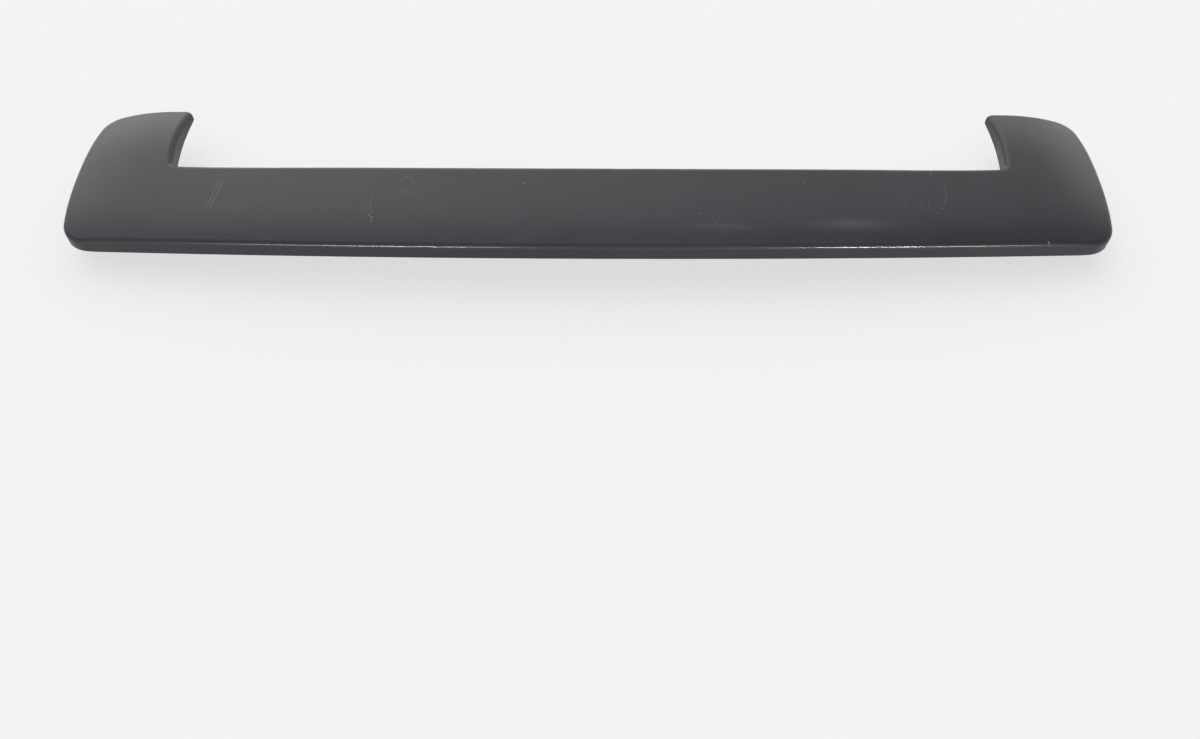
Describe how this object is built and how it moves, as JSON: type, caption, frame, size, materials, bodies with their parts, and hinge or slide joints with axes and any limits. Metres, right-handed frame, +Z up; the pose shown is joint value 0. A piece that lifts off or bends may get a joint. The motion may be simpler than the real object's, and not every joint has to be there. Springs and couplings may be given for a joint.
{
  "type": "rear spoiler",
  "caption": "U-shaped moulded rear spoiler for a car's tailgate: a wide bowed deck with a blunt rear lip, and an arm reaching forward at each end.",
  "frame": {"origin": "on the floor that the spoiler's two feet stand on, below the middle of its box", "axes": "+X across the car to the right seen from behind, +Y forwards along the car, +Z up"},
  "size_m": [1.2, 0.229, 0.0708],
  "materials": {
    "spoiler_skin": "satin charcoal-black moulded skin, with fine scratches and rub marks",
    "insert_brass": "plain turned brass"
  },
  "bodies": {
    "root": {"spoiler_body": "spoiler_skin", "threaded_inserts": "insert_brass"}
  },
  "joints": []
}
